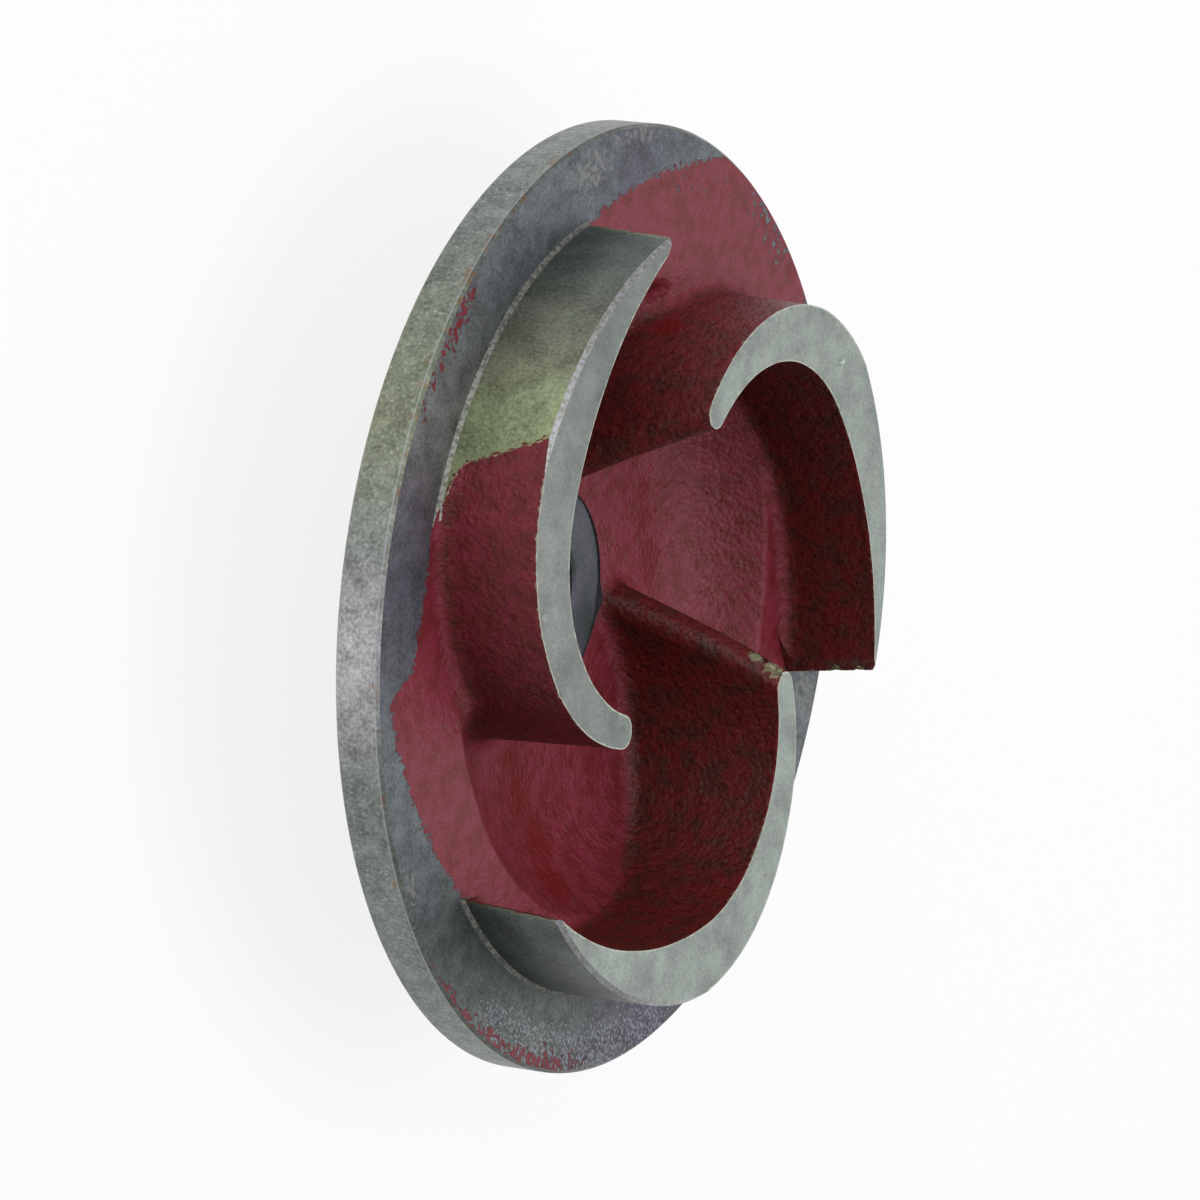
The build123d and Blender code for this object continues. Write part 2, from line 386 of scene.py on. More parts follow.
def ring_marks(points):
    """Signed distance in mm inside the paint left on the ring, and how thick red specks, pale
    speckles, rubbed patches and thin paint lie there, from 0 to 1, all by radius and angle."""
    r = np.hypot(points[:, 0], points[:, 1])
    angle = np.degrees(np.arctan2(points[:, 1], points[:, 0]))
    paint = np.interp(angle, PAINT_ANGLES, PAINT_RADII, period=360) - r
    red = bell(angle, -6, 7) * bell(r, 97.0, 2.8) + 0.7 * bell(angle, 5, 5) * bell(r, 98, 1.5)
    # From 74 degrees on, the band of red specks at the rim widens with the angle.
    window = ramp(angle, 72, 80) * ramp(angle, 126, 114)
    past = np.clip(angle - 74, 0, 99)
    red += window * ramp(r, 98.2 - 0.16 * past, 99.6 - 0.05 * past)
    short = np.clip(110 - angle, 0, 40)
    pale = ramp(angle, 82, 96) * ramp(angle, 160, 140) * ramp(r, 84 + 0.12 * short, 92)
    rubbed = bell(angle, -42, 7) * bell(r, 93, 6) + bell(angle, -56, 8) * bell(r, 98, 2.5)
    rubbed += bell(angle, 66, 4) * bell(r, 96.5, 2.5) + 0.4 * bell(angle, -72, 7) * bell(r, 92, 5)
    rubbed += 0.9 * bell(angle, -164, 8) * ramp(r, 84, 90)
    thin = bell(angle, -94, 11) * ramp(r, 90, 95) + 0.7 * bell(angle, -66, 4) * bell(r, 88.4, 3)
    thin += 0.7 * bell(angle, -73, 4) * bell(r, 91, 3) + 0.6 * bell(angle, 41, 3) * bell(r, 93, 3)
    return {
        "ring_paint": paint, "red_specks": red, "pale_speckles": pale,
        "rubbed": rubbed, "thin_paint": thin,
    }


def write_piece(name, points, triangles, facing, region, materials, marks):
    """A mesh object of the finished surface, with its materials, corner facings and marks."""
    mesh = bpy.data.meshes.new(name)
    mesh.vertices.add(len(points))
    mesh.vertices.foreach_set("co", (points * MM).reshape(-1))
    mesh.loops.add(triangles.size)
    mesh.loops.foreach_set("vertex_index", triangles.reshape(-1).astype(np.int32))
    mesh.polygons.add(len(triangles))
    mesh.polygons.foreach_set("loop_start", np.arange(0, triangles.size, 3, dtype=np.int32))
    for material in materials:
        mesh.materials.append(material)
    mesh.polygons.foreach_set("material_index", region.astype(np.int32))
    for mark, values in marks.items():
        attribute = mesh.attributes.new(mark, "FLOAT", "POINT")
        attribute.data.foreach_set("value", values.astype(np.float32))
    mesh.update(calc_edges=True)
    mesh.normals_split_custom_set(facing.reshape(-1, 3).tolist())
    piece = bpy.data.objects.new(name, mesh)
    bpy.context.scene.collection.objects.link(piece)
    return piece


# --- Materials ---------------------------------------------------------------------------
# Inputs by number: a Map Range has From Min, From Max, To Min and To Max at 1 to 4. A Mix has
# its factor at 0, its colours at 6 and 7, and its numbers at 2 and 3. A Multiply Add is input
# 0 times input 1 plus input 2, and a Compare is 1 where 0 and 1 differ by less than input 2.
SMOOTH = {"interpolation_type": "SMOOTHSTEP"}
COLOUR = {"data_type": "RGBA"}
PLUS, TIMES, MOST = ({"operation": name} for name in ("ADD", "MULTIPLY", "MAXIMUM"))


def add(tree, kind, settings=None, inputs=None):
    """Adds a node: settings by attribute, and inputs by name or number, either values or links."""
    node = tree.nodes.new(kind)
    for key, value in (settings or {}).items():
        setattr(node, key, value)
    for key, value in (inputs or {}).items():
        if isinstance(value, bpy.types.NodeSocket):
            tree.links.new(value, node.inputs[key])
        else:
            node.inputs[key].default_value = value
    return node


def per_metre(size):
    """The scale of a pattern whose lumps are that many millimetres wide."""
    return 1 / (size * MM)


def new_material(name):
    """An empty material with its shader, and the tree's point in object coordinates."""
    material = bpy.data.materials.new(name)
    material.use_nodes = True
    tree = material.node_tree
    point = add(tree, "ShaderNodeTexCoord").outputs["Object"]
    return material, tree, tree.nodes["Principled BSDF"], point


def dress(tree, shader, colour, height, relief, settings):
    """Links a surface's colour, and its relief with a depth in millimetres, and sets the rest."""
    bump = add(tree, "ShaderNodeBump",
               inputs={"Height": height, "Distance": relief * MM, "Strength": 1.0})
    tree.links.new(colour, shader.inputs["Base Color"])
    tree.links.new(bump.outputs[0], shader.inputs["Normal"])
    for key, value in settings.items():
        if isinstance(value, bpy.types.NodeSocket):
            tree.links.new(value, shader.inputs[key])
        else:
            shader.inputs[key].default_value = value


def stained(tree, point, stains):
    """The colour of the iron round the axis: stains, and on the rim painted reflections, at angles
    from -180 to 180 degrees, each blending into the next."""
    turn = add(tree, "ShaderNodeTexGradient", {"gradient_type": "RADIAL"}, {"Vector": point})
    colours = add(tree, "ShaderNodeValToRGB", inputs={"Fac": turn.outputs[1]})
    elements = colours.color_ramp.elements
    places = [(angle / 360 + 0.5, hex_colour(colour)) for angle, colour in stains]
    for element, (place, colour) in zip(elements, (places[0], places[-1])):
        element.position, element.color = place, colour
    for place, colour in places[1:-1]:
        elements.new(place).color = colour
    return colours.outputs[0]


def enamel(tree, point):
    """Brushed red enamel over sand-cast skin: colour, roughness and height. Its colour carries
    painted sheen and shade: faces that look up or out are drawn lighter and crimson, sideways faces
    darker and brown, and some places deep red where the sheen is missing. The sand's grit of about
    1 mm stands through it, darkened in its hollows as painted shade, most on the sideways faces,
    with tan dust on its tips."""
    level = add(tree, "ShaderNodeAttribute", {"attribute_name": "level"}).outputs["Fac"]
    unsheened = add(tree, "ShaderNodeAttribute", {"attribute_name": "unsheened"}).outputs["Fac"]
    # Painted sheen and shade: faces that look up or out take the lighter crimson pair, sideways
    # faces the darker red and brown pair.
    sheen_share = add(tree, "ShaderNodeMapRange", SMOOTH, {"Value": level, 1: 0.35, 2: 0.9}).outputs[0]
    blotch = add(tree, "ShaderNodeTexNoise", {},
                 {"Vector": point, "Scale": per_metre(4.0), "Detail": 4.0}).outputs[0]
    patch = add(tree, "ShaderNodeMapRange", SMOOTH, {"Value": blotch, 1: 0.4, 2: 0.65}).outputs[0]
    steep = add(tree, "ShaderNodeMix", COLOUR,
                {0: patch, 6: hex_colour(SHADED_RED), 7: hex_colour(SHADED_BROWN)}).outputs[2]
    flat = add(tree, "ShaderNodeMix", COLOUR,
               {0: patch, 6: hex_colour(SHEEN_CRIMSON), 7: hex_colour(SHEEN_RED)}).outputs[2]
    colour = add(tree, "ShaderNodeMix", COLOUR, {0: sheen_share, 6: steep, 7: flat}).outputs[2]
    grit = add(tree, "ShaderNodeTexNoise", {},
               {"Vector": point, "Scale": per_metre(1.0), "Detail": 3.0}).outputs[0]
    fine = add(tree, "ShaderNodeTexNoise", {},
               {"Vector": point, "Scale": per_metre(0.55), "Detail": 1.0}).outputs[0]
    # Painted shade in the grit's hollows: strongest on the sideways faces, weakest on faces that
    # look up.
    most = add(tree, "ShaderNodeMapRange", {}, {"Value": sheen_share, 3: 0.65, 4: 0.2}).outputs[0]
    pit_shade = add(tree, "ShaderNodeMapRange", SMOOTH,
               {"Value": grit, 1: 0.5, 2: 0.34, 3: 0.0, 4: most}).outputs[0]
    colour = add(tree, "ShaderNodeMix", COLOUR,
                 {0: pit_shade, 6: colour, 7: hex_colour(PIT_SHADE)}).outputs[2]
    dust = add(tree, "ShaderNodeMapRange", SMOOTH,
               {"Value": fine, 1: 0.66, 2: 0.76, 3: 0.0, 4: 0.55}).outputs[0]
    colour = add(tree, "ShaderNodeMix", COLOUR,
                 {0: dust, 6: colour, 7: hex_colour(TAN_DUST)}).outputs[2]
    # Painted shade: deep red at the listed places, where the enamel's sheen is missing.
    whole = add(tree, "ShaderNodeMapRange", SMOOTH,
                {"Value": unsheened, 1: 0.1, 2: 0.7, 3: 0.0, 4: 0.85}).outputs[0]
    colour = add(tree, "ShaderNodeMix", COLOUR,
                 {0: whole, 6: colour, 7: hex_colour(UNSHEENED_RED)}).outputs[2]
    roughness = add(tree, "ShaderNodeMapRange", SMOOTH,
                    {"Value": fine, 1: 0.35, 2: 0.65, 3: 0.52, 4: 0.38}).outputs[0]
    lump = add(tree, "ShaderNodeTexNoise", {},
               {"Vector": point, "Scale": per_metre(2.4), "Detail": 1.0}).outputs[0]
    height = add(tree, "ShaderNodeMath", PLUS, {0: lump, 1: grit}).outputs[0]
    return colour, roughness, height


def painted_casting():
    """Enamel over cast skin, worn to a ragged bright line along the machined edges and off the
    knocked corners."""
    material, tree, shader, point = new_material("red_enamel_on_sand_cast_iron")
    colour, roughness, height = enamel(tree, point)
    edge = add(tree, "ShaderNodeAttribute", {"attribute_name": "edge"}).outputs["Fac"]
    chipped = add(tree, "ShaderNodeAttribute", {"attribute_name": "chipped"}).outputs["Fac"]
    nibble = add(tree, "ShaderNodeTexNoise", {},
                 {"Vector": point, "Scale": per_metre(1.3), "Detail": 3.0}).outputs[0]
    ragged = add(tree, "ShaderNodeMapRange", {},
                 {"Value": nibble, 1: 0.3, 2: 0.7, 3: -0.35, 4: 0.6}).outputs[0]
    worn = add(tree, "ShaderNodeMath", PLUS, {0: edge, 1: ragged}).outputs[0]
    line = add(tree, "ShaderNodeMapRange", SMOOTH,
               {"Value": worn, 1: 0.25, 2: 0.1, 3: 0.0, 4: 0.8}).outputs[0]
    knock = add(tree, "ShaderNodeMath", PLUS, {0: chipped, 1: nibble}).outputs[0]
    knocked = add(tree, "ShaderNodeMapRange", SMOOTH,
                  {"Value": knock, 1: 0.93, 2: 1.1, 3: 0.0, 4: 0.85}).outputs[0]
    bare = add(tree, "ShaderNodeMath", MOST, {0: line, 1: knocked}).outputs[0]
    colour = add(tree, "ShaderNodeMix", COLOUR,
                 {0: bare, 6: colour, 7: hex_colour(BARE_LINE)}).outputs[2]
    metal = add(tree, "ShaderNodeMath", TIMES, {0: bare, 1: 0.6}).outputs[0]
    dress(tree, shader, colour, height, 0.38,
          {"Roughness": roughness, "Metallic": metal, "Specular IOR Level": PAINT_GLOSS})
    return material


def faced_iron():
    """Grey iron faced in the lathe and hardly stained: pale, slightly green, with the fine mottle
    of graphite and a thin bright burr along the edges."""
    material, tree, shader, point = new_material("faced_grey_iron")
    base = stained(tree, point, TOP_STAINS)
    cloud = add(tree, "ShaderNodeTexNoise", {},
                {"Vector": point, "Scale": per_metre(7.0), "Detail": 3.0}).outputs[0]
    fleck = add(tree, "ShaderNodeTexNoise", {},
                {"Vector": point, "Scale": per_metre(0.7), "Detail": 2.0}).outputs[0]
    both = add(tree, "ShaderNodeMath", {"operation": "MULTIPLY_ADD"},
               {0: fleck, 1: 0.75, 2: cloud}).outputs[0]
    value = add(tree, "ShaderNodeMapRange", {},
                {"Value": both, 1: 0.55, 2: 1.2, 3: 0.68, 4: 1.32}).outputs[0]
    colour = add(tree, "ShaderNodeHueSaturation", {}, {"Value": value, "Color": base}).outputs[0]
    stain = add(tree, "ShaderNodeTexNoise", {},
                {"Vector": point, "Scale": per_metre(1.8), "Detail": 2.0}).outputs[0]
    spot = add(tree, "ShaderNodeMapRange", SMOOTH,
               {"Value": stain, 1: 0.68, 2: 0.75, 3: 0.0, 4: 0.4}).outputs[0]
    colour = add(tree, "ShaderNodeMix", COLOUR,
                 {0: spot, 6: colour, 7: hex_colour(BROWN_SPOT)}).outputs[2]
    edge = add(tree, "ShaderNodeAttribute", {"attribute_name": "edge"}).outputs["Fac"]
    ragged = add(tree, "ShaderNodeMapRange", {},
                 {"Value": stain, 1: 0.3, 2: 0.7, 3: -0.25, 4: 0.3}).outputs[0]
    rim = add(tree, "ShaderNodeMath", PLUS, {0: edge, 1: ragged}).outputs[0]
    burr = add(tree, "ShaderNodeMapRange", SMOOTH,
               {"Value": rim, 1: 0.42, 2: 0.15, 3: 0.0, 4: 0.75}).outputs[0]
    colour = add(tree, "ShaderNodeMix", COLOUR,
                 {0: burr, 6: colour, 7: hex_colour(BURR)}).outputs[2]
    dress(tree, shader, colour, fleck, 0.02, {"Roughness": 0.45, "Metallic": 0.75})
    return material


def ring_iron():
    """The ring as turned: dark and stained, blue to green by turns, with rubbed pale patches, red
    specks, and the enamel where the tool ran clear of the casting."""
    material, tree, shader, point = new_material("turned_and_stained_grey_iron")
    base = stained(tree, point, RING_STAINS)
    cloud = add(tree, "ShaderNodeTexNoise", {},
                {"Vector": point, "Scale": per_metre(5.0), "Detail": 5.0}).outputs[0]
    fleck = add(tree, "ShaderNodeTexNoise", {},
                {"Vector": point, "Scale": per_metre(0.7), "Detail": 2.0}).outputs[0]
    both = add(tree, "ShaderNodeMath", PLUS, {0: fleck, 1: cloud}).outputs[0]
    value = add(tree, "ShaderNodeMapRange", {},
                {"Value": both, 1: 0.7, 2: 1.3, 3: 0.55, 4: 1.45}).outputs[0]
    colour = add(tree, "ShaderNodeHueSaturation", {}, {"Value": value, "Color": base}).outputs[0]

    rubbed = add(tree, "ShaderNodeAttribute", {"attribute_name": "rubbed"}).outputs["Fac"]
    broken = add(tree, "ShaderNodeTexNoise", {},
                 {"Vector": point, "Scale": per_metre(1.5), "Detail": 4.0}).outputs[0]
    rub = add(tree, "ShaderNodeMath", {"operation": "MULTIPLY_ADD"},
              {0: rubbed, 1: 0.28, 2: broken}).outputs[0]
    worn = add(tree, "ShaderNodeMapRange", SMOOTH,
               {"Value": rub, 1: 0.68, 2: 0.84, 3: 0.0, 4: 0.6}).outputs[0]
    colour = add(tree, "ShaderNodeMix", COLOUR,
                 {0: worn, 6: colour, 7: hex_colour(RUBBED)}).outputs[2]

    pale = add(tree, "ShaderNodeAttribute", {"attribute_name": "pale_speckles"}).outputs["Fac"]
    speckle = add(tree, "ShaderNodeMath", {"operation": "MULTIPLY_ADD"},
                  {0: pale, 1: 0.25, 2: fleck}).outputs[0]
    lilac = add(tree, "ShaderNodeMapRange", SMOOTH,
                {"Value": speckle, 1: 0.76, 2: 0.86, 3: 0.0, 4: 0.75}).outputs[0]
    colour = add(tree, "ShaderNodeMix", COLOUR,
                 {0: lilac, 6: colour, 7: hex_colour(LILAC)}).outputs[2]

    # The enamel on the ring faces up, so it takes the lighter crimson of the painted sheen.
    enamel_colour, enamel_roughness, enamel_height = enamel(tree, point)
    inside = add(tree, "ShaderNodeAttribute", {"attribute_name": "ring_paint"}).outputs["Fac"]
    nibble = add(tree, "ShaderNodeTexNoise", {},
                 {"Vector": point, "Scale": per_metre(1.2), "Detail": 4.0}).outputs[0]
    ragged = add(tree, "ShaderNodeMapRange", {},
                 {"Value": nibble, 1: 0.3, 2: 0.7, 3: -1.3, 4: 1.3}).outputs[0]
    border = add(tree, "ShaderNodeMath", PLUS, {0: inside, 1: ragged}).outputs[0]
    paint = add(tree, "ShaderNodeMapRange", SMOOTH, {"Value": border, 1: -0.1, 2: 0.15}).outputs[0]
    thin = add(tree, "ShaderNodeAttribute", {"attribute_name": "thin_paint"}).outputs["Fac"]
    bare = add(tree, "ShaderNodeMath", {"operation": "MULTIPLY_ADD"},
               {0: thin, 1: 0.2, 2: nibble}).outputs[0]
    kept = add(tree, "ShaderNodeMapRange", SMOOTH, {"Value": bare, 1: 0.76, 2: 0.71}).outputs[0]
    film = add(tree, "ShaderNodeMath", TIMES, {0: paint, 1: kept}).outputs[0]
    red = add(tree, "ShaderNodeAttribute", {"attribute_name": "red_specks"}).outputs["Fac"]
    speck = add(tree, "ShaderNodeMath", {"operation": "MULTIPLY_ADD"},
                {0: red, 1: 0.3, 2: nibble}).outputs[0]
    specks = add(tree, "ShaderNodeMapRange", SMOOTH, {"Value": speck, 1: 0.72, 2: 0.77}).outputs[0]
    film = add(tree, "ShaderNodeMath", MOST, {0: film, 1: specks}).outputs[0]
    colour = add(tree, "ShaderNodeMix", COLOUR, {0: film, 6: colour, 7: enamel_colour}).outputs[2]
    roughness = add(tree, "ShaderNodeMix", {}, {0: film, 2: 0.5, 3: enamel_roughness}).outputs[0]
    depth = add(tree, "ShaderNodeMapRange", {}, {"Value": film, 3: 0.1, 4: 1.0}).outputs[0]
    height = add(tree, "ShaderNodeMath", TIMES, {0: enamel_height, 1: depth}).outputs[0]
    metal = add(tree, "ShaderNodeMapRange", {}, {"Value": film, 3: 0.5, 4: 0.0}).outputs[0]
    dress(tree, shader, colour, height, 0.24,
          {"Roughness": roughness, "Metallic": metal, "Specular IOR Level": PAINT_GLOSS})
    return material


def rim_iron():
    """The rim as turned: grey green, with paler steel and a silver stretch round it that are
    painted reflections, finely mottled, with pale lines where its front corner was broken and rust
    that creeps back from it."""
    material, tree, shader, point = new_material("turned_grey_iron_rim")
    # These colours by angle carry the rim's painted reflections.
    base = stained(tree, point, RIM_STAINS_AND_REFLECTIONS)
    cloud = add(tree, "ShaderNodeTexNoise", {},
                {"Vector": point, "Scale": per_metre(4.0), "Detail": 5.0}).outputs[0]
    fleck = add(tree, "ShaderNodeTexNoise", {},
                {"Vector": point, "Scale": per_metre(0.75), "Detail": 2.0}).outputs[0]
    both = add(tree, "ShaderNodeMath", {"operation": "MULTIPLY_ADD"},
               {0: fleck, 1: 1.2, 2: cloud}).outputs[0]
    value = add(tree, "ShaderNodeMapRange", {},
                {"Value": both, 1: 0.75, 2: 1.45, 3: 0.55, 4: 1.45}).outputs[0]
    colour = add(tree, "ShaderNodeHueSaturation", {}, {"Value": value, "Color": base}).outputs[0]
    spark = add(tree, "ShaderNodeMapRange", SMOOTH,
                {"Value": fleck, 1: 0.64, 2: 0.76, 3: 0.0, 4: 0.6}).outputs[0]
    colour = add(tree, "ShaderNodeMix", COLOUR,
                 {0: spark, 6: colour, 7: hex_colour(SPARK)}).outputs[2]
    height = add(tree, "ShaderNodeSeparateXYZ", inputs={0: point}).outputs[2]
    front = add(tree, "ShaderNodeMapRange", SMOOTH,
                {"Value": height, 1: 41.0 * MM, 2: 44.6 * MM, 3: 0.0, 4: 0.3}).outputs[0]
    seep = add(tree, "ShaderNodeTexNoise", {},
               {"Vector": point, "Scale": per_metre(3.0), "Detail": 4.0}).outputs[0]
    creep = add(tree, "ShaderNodeMath", PLUS, {0: front, 1: seep}).outputs[0]
    rust = add(tree, "ShaderNodeMapRange", SMOOTH,
               {"Value": creep, 1: 0.84, 2: 1.0, 3: 0.0, 4: 0.7}).outputs[0]
    colour = add(tree, "ShaderNodeMix", COLOUR,
                 {0: rust, 6: colour, 7: hex_colour(RUST)}).outputs[2]
    line = add(tree, "ShaderNodeMath", {"operation": "COMPARE"},
               {0: height, 1: 44.25 * MM, 2: 0.16 * MM}).outputs[0]
    line = add(tree, "ShaderNodeMath", TIMES, {0: line, 1: 0.45}).outputs[0]
    colour = add(tree, "ShaderNodeMix", COLOUR,
                 {0: line, 6: colour, 7: hex_colour(RIM_LINE)}).outputs[2]
    dress(tree, shader, colour, fleck, 0.02, {"Roughness": 0.46, "Metallic": 0.7})
    return material


def vane_end_iron():
    """The vanes' turned ends: olive where they thin to the tip, paler and greener toward the
    thick end, with soft clouds of stain and a ragged pale edge against the enamel."""
    material, tree, shader, point = new_material("turned_grey_iron_vane_end")
    base = stained(tree, point, END_STAINS)
    cloud = add(tree, "ShaderNodeTexNoise", {},
                {"Vector": point, "Scale": per_metre(7.0), "Detail": 4.0}).outputs[0]
    fleck = add(tree, "ShaderNodeTexNoise", {},
                {"Vector": point, "Scale": per_metre(0.7), "Detail": 2.0}).outputs[0]
    both = add(tree, "ShaderNodeMath", PLUS, {0: fleck, 1: cloud}).outputs[0]
    value = add(tree, "ShaderNodeMapRange", {},
                {"Value": both, 1: 0.7, 2: 1.3, 3: 0.55, 4: 1.45}).outputs[0]
    colour = add(tree, "ShaderNodeHueSaturation", {}, {"Value": value, "Color": base}).outputs[0]
    edge = add(tree, "ShaderNodeAttribute", {"attribute_name": "edge"}).outputs["Fac"]
    nibble = add(tree, "ShaderNodeTexNoise", {},
                 {"Vector": point, "Scale": per_metre(1.3), "Detail": 3.0}).outputs[0]
    ragged = add(tree, "ShaderNodeMapRange", {},
                 {"Value": nibble, 1: 0.3, 2: 0.7, 3: -0.9, 4: 0.9}).outputs[0]
    border = add(tree, "ShaderNodeMath", PLUS, {0: edge, 1: ragged}).outputs[0]
    pale = add(tree, "ShaderNodeMapRange", SMOOTH,
               {"Value": border, 1: 1.7, 2: 0.4, 3: 0.0, 4: 0.5}).outputs[0]
    colour = add(tree, "ShaderNodeMix", COLOUR,
                 {0: pale, 6: colour, 7: hex_colour(END_EDGE)}).outputs[2]
    # The enamel at this border takes the flanks' darker red, which carries their painted shade.
    film = add(tree, "ShaderNodeMapRange", SMOOTH, {"Value": border, 1: 0.1, 2: -0.1}).outputs[0]
    colour = add(tree, "ShaderNodeMix", COLOUR,
                 {0: film, 6: colour, 7: hex_colour(SHADED_RED)}).outputs[2]
    metal = add(tree, "ShaderNodeMapRange", {}, {"Value": film, 3: 0.65, 4: 0.0}).outputs[0]
    dress(tree, shader, colour, fleck, 0.03, {"Roughness": 0.48, "Metallic": metal})
    return material


def edge_iron():
    """Chamfers drawn bright as a painted highlight along their edges, and the tool corner at the
    foot of the vane ends a dimmer painted highlight.
    """
    material, tree, shader, point = new_material("grey_iron_with_painted_edge_highlight")
    patch = add(tree, "ShaderNodeTexNoise", {},
                {"Vector": point, "Scale": per_metre(0.9), "Detail": 3.0}).outputs[0]
    mixed = add(tree, "ShaderNodeMapRange", SMOOTH, {"Value": patch, 1: 0.35, 2: 0.65}).outputs[0]
    # Painted highlight: the chamfers at the vane tops pale and bright, the tool corner at the foot
    # dimmer.
    top = add(tree, "ShaderNodeMix", COLOUR,
              {0: mixed, 6: hex_colour("a8a79c"), 7: hex_colour("cccdd4")}).outputs[2]
    foot = add(tree, "ShaderNodeMix", COLOUR,
               {0: mixed, 6: hex_colour("6f736d"), 7: hex_colour("a9aaa0")}).outputs[2]
    height = add(tree, "ShaderNodeSeparateXYZ", inputs={0: point}).outputs[2]
    low = add(tree, "ShaderNodeMapRange", {}, {"Value": height, 1: 47 * MM, 2: 46 * MM}).outputs[0]
    colour = add(tree, "ShaderNodeMix", COLOUR, {0: low, 6: top, 7: foot}).outputs[2]
    dress(tree, shader, colour, patch, 0.02, {"Roughness": 0.4, "Metallic": 0.75})
    return material


def bored_iron():
    """Spot face and bore: cut with a cutter, dark grey and slightly blue."""
    material, tree, shader, point = new_material("spot_faced_grey_iron")
    cloud = add(tree, "ShaderNodeTexNoise", {},
                {"Vector": point, "Scale": per_metre(7.0), "Detail": 4.0}).outputs[0]
    fleck = add(tree, "ShaderNodeTexNoise", {},
                {"Vector": point, "Scale": per_metre(0.7), "Detail": 2.0}).outputs[0]
    mixed = add(tree, "ShaderNodeMapRange", SMOOTH, {"Value": cloud, 1: 0.35, 2: 0.65}).outputs[0]
    colour = add(tree, "ShaderNodeMix", COLOUR,
                 {0: mixed, 6: hex_colour("525a5a"), 7: hex_colour("64666f")}).outputs[2]
    value = add(tree, "ShaderNodeMapRange", {},
                {"Value": fleck, 1: 0.3, 2: 0.7, 3: 0.8, 4: 1.2}).outputs[0]
    colour = add(tree, "ShaderNodeHueSaturation", {}, {"Value": value, "Color": colour}).outputs[0]
    dress(tree, shader, colour, fleck, 0.02, {"Roughness": 0.48, "Metallic": 0.6})
    return material


def back_iron():
    """Faced back of the hub and the rim's back land: as the rim, less handled."""
    material, tree, shader, point = new_material("turned_grey_iron_back")
    cloud = add(tree, "ShaderNodeTexNoise", {},
                {"Vector": point, "Scale": per_metre(8.0), "Detail": 4.0}).outputs[0]
    fleck = add(tree, "ShaderNodeTexNoise", {},
                {"Vector": point, "Scale": per_metre(0.7), "Detail": 2.0}).outputs[0]
    mixed = add(tree, "ShaderNodeMapRange", SMOOTH, {"Value": cloud, 1: 0.35, 2: 0.65}).outputs[0]
    colour = add(tree, "ShaderNodeMix", COLOUR,
                 {0: mixed, 6: hex_colour("6d736a"), 7: hex_colour("858a84")}).outputs[2]
    value = add(tree, "ShaderNodeMapRange", {},
                {"Value": fleck, 1: 0.3, 2: 0.7, 3: 0.75, 4: 1.25}).outputs[0]
    colour = add(tree, "ShaderNodeHueSaturation", {}, {"Value": value, "Color": colour}).outputs[0]
    dress(tree, shader, colour, fleck, 0.02, {"Roughness": 0.48, "Metallic": 0.7})
    return material


# --- Light, floor and camera -------------------------------------------------------------
def direction(azimuth, elevation):
    """The direction at these angles in radians: (cos a cos e, sin a cos e, sin e)."""
    level = math.cos(elevation)
    return Vector((math.cos(azimuth) * level, math.sin(azimuth) * level, math.sin(elevation)))


def soft_box(name, azimuth, elevation, distance, width, power):
    """A square lamp of that width in metres, at an angle round the axis and above the floor,
    facing the part."""
    back = direction(math.radians(azimuth), math.radians(elevation))
    data = bpy.data.lights.new(name, "AREA")
    data.shape = "SQUARE"
    data.size = width
    data.energy = power
    lamp = bpy.data.objects.new(name, data)
    lamp.location = Vector((0, 0, RING_Z * MM)) + back * distance
    lamp.rotation_euler = back.to_track_quat("Z", "Y").to_euler()
    bpy.context.scene.collection.objects.link(lamp)


def set_world(colour, strength):
    """An even pale studio."""
    world = bpy.data.worlds.new("studio")
    world.use_nodes = True
    background = world.node_tree.nodes["Background"]
    background.inputs["Color"].default_value = hex_colour(colour)
    background.inputs["Strength"].default_value = strength
    bpy.context.scene.world = world


def set_floor():
    """A plain white floor, seen white, that still takes the part's shadow: the white that the
    camera, gloss and glass see is mixed into a matt surface by light path."""
    side = 6.0  # metres from the middle to each edge
    mesh = bpy.data.meshes.new("floor")
    corners = [(-side, -side, 0), (side, -side, 0), (side, side, 0), (-side, side, 0)]
    mesh.from_pydata(corners, [], [(0, 1, 2, 3)])
    floor = bpy.data.objects.new("floor", mesh)
    bpy.context.scene.collection.objects.link(floor)
    material = bpy.data.materials.new("matt_white_backdrop")
    material.use_nodes = True
    tree = material.node_tree
    shader = tree.nodes["Principled BSDF"]
    shader.inputs["Base Color"].default_value = hex_colour("f8f8f8")
    shader.inputs["Roughness"].default_value = 0.9
    path = add(tree, "ShaderNodeLightPath").outputs
    seen = add(tree, "ShaderNodeMath", MOST,
               {0: path["Is Camera Ray"], 1: path["Is Glossy Ray"]}).outputs[0]
    seen = add(tree, "ShaderNodeMath", MOST, {0: seen, 1: path["Is Transmission Ray"]}).outputs[0]
    share = add(tree, "ShaderNodeMath", TIMES, {0: seen, 1: 0.85}).outputs[0]
    white = add(tree, "ShaderNodeEmission", {}, {"Color": (1, 1, 1, 1), "Strength": 1.0}).outputs[0]
    matt = shader.outputs[0]
    mixed = add(tree, "ShaderNodeMixShader", {}, {0: share, 1: matt, 2: white}).outputs[0]
    tree.links.new(mixed, tree.nodes["Material Output"].inputs["Surface"])
    mesh.materials.append(material)


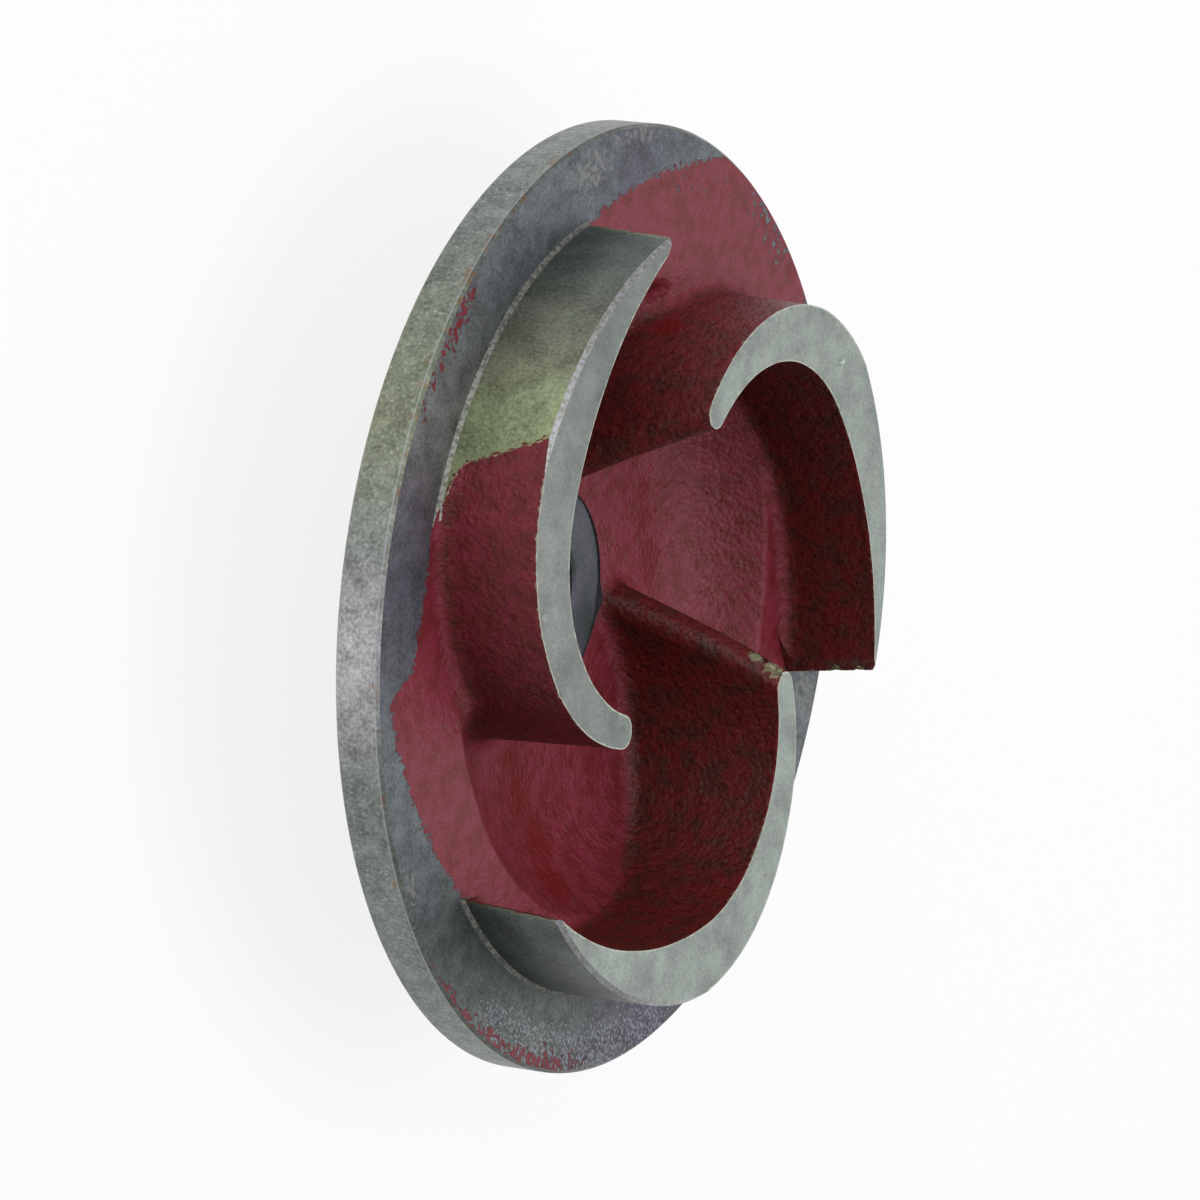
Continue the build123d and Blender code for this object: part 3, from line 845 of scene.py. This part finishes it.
def set_camera():
    """A long lens that looks down at the eye, turned so that the axis lies across the frame."""
    azimuth, elevation, roll = math.radians(26.0), math.radians(27.8502), math.radians(96.8378)
    distance, right_of_aim, above_aim = 1.611156, 0.0049286, -0.0010367
    back = direction(azimuth, elevation)
    level = Vector((-math.sin(azimuth), math.cos(azimuth), 0))
    raised = back.cross(level)
    right = level * math.cos(roll) + raised * math.sin(roll)
    up = raised * math.cos(roll) - level * math.sin(roll)
    aim = Vector((0, 0, RIM_BACK_Z * MM))
    place = aim + back * distance + right * right_of_aim + up * above_aim
    data = bpy.data.cameras.new("camera")
    data.sensor_width = 36
    data.lens = 229.961
    data.clip_start, data.clip_end = 0.1, 20
    camera = bpy.data.objects.new("camera", data)
    turned = Matrix((right, up, back)).transposed().to_4x4()
    camera.matrix_world = Matrix.Translation(place) @ turned
    bpy.context.scene.collection.objects.link(camera)
    bpy.context.scene.camera = camera


# --- The part ----------------------------------------------------------------------------
def longest_edge(middle):
    """The longest edge allowed at a place: fine in front of the plate, coarser behind it, and
    finest at the knocks."""
    length = np.where(middle[:, 2] < RIM_BACK_Z - BACK_DEPTH, BACK_EDGE, FRONT_EDGE)
    return np.where(near(middle, [place[:4] for place in KNOCKS]) > 0, KNOCK_EDGE, length)


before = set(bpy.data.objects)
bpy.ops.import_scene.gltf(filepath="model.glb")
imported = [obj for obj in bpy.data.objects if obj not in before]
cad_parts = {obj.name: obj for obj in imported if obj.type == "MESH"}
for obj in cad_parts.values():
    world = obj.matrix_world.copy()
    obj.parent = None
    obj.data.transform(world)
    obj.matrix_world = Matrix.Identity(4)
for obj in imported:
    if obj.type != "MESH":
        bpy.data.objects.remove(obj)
cad_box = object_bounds()

points, triangles, facing = read_surface(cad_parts["impeller"])
region = name_regions(points, triangles)
surface = (points, triangles, facing, region)
for _ in range(HALVINGS):
    surface = split_once(*surface, longest_edge) or surface
points, triangles, facing, region = surface
points, facing = roughen(points, triangles, facing, region)
# The share by facing sets the enamel's painted sheen and shade.
level = painted_sheen_share(points, triangles, facing)
points, facing = knock(points, triangles, facing)
low, high = (np.array(corner) / MM for corner in cad_box)
points = np.clip(points, low, high)
marks = {
    "edge": distance_to_creases(points, triangles, region), "level": level,
    # The deep red places mark painted shade where the enamel's sheen is missing.
    "unsheened": near(points, UNSHEENED_PLACES), "chipped": near(points, CHIPPED), **ring_marks(points),
}

finishes = (painted_casting, faced_iron, ring_iron, rim_iron, vane_end_iron, edge_iron,
            bored_iron, back_iron)
materials = [finish() for finish in finishes]
impeller = write_piece("impeller_casting", points, triangles, facing, region, materials, marks)
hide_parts("impeller")
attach(impeller, "root")

set_floor()
set_camera()
set_world("f2f4f6", 0.25)
soft_box("panel_behind", 206, 45, 1.8, 2.4, 12)
soft_box("panel_above", 206, 82, 1.5, 1.2, 10)
soft_box("panel_front", 352, 25, 1.8, 1.4, 16)
bpy.context.scene.view_settings.view_transform = "Standard"
